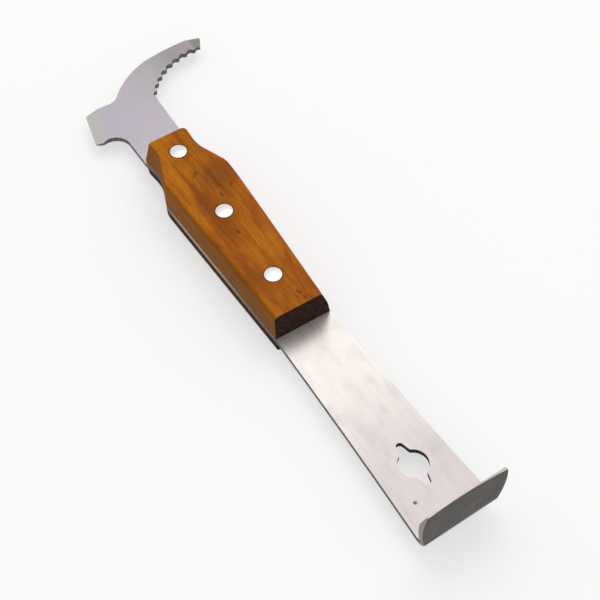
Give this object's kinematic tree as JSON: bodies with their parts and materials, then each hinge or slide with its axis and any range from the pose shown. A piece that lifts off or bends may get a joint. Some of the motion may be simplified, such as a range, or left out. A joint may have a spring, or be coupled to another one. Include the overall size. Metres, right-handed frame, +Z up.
{
  "type": "hive tool",
  "caption": "Hive tool: full-tang steel blade with a serrated hook and pry tab at one end, a nail hole and a turned-up scraper at the other, and riveted wooden grip scales.",
  "frame": {"origin": "centre of the bounding box in plan, on the plane of the lower scale's flat underside, where the tool lies", "axes": "+X along the tool from the scraper towards the hook, +Y across it towards the pry tab, +Z up out of the side with the thicker scale and the turned-up scraper"},
  "size_m": [0.2862, 0.0736, 0.0366],
  "materials": {
    "steel": "satin stainless steel, ground flat, with bright ground bevels and darker sheared edges",
    "wood": "orange-brown hardwood under clear varnish, with darker red-brown figure",
    "rivet_metal": "polished bright, nearly white"
  },
  "bodies": {
    "root": {"steel_blade": "steel", "upper_scale": "wood", "lower_scale": "wood", "rivet_front_socket": "rivet_metal", "rivet_front_pin": "rivet_metal", "rivet_middle_socket": "rivet_metal", "rivet_middle_pin": "rivet_metal", "rivet_rear_socket": "rivet_metal", "rivet_rear_pin": "rivet_metal"}
  },
  "joints": []
}
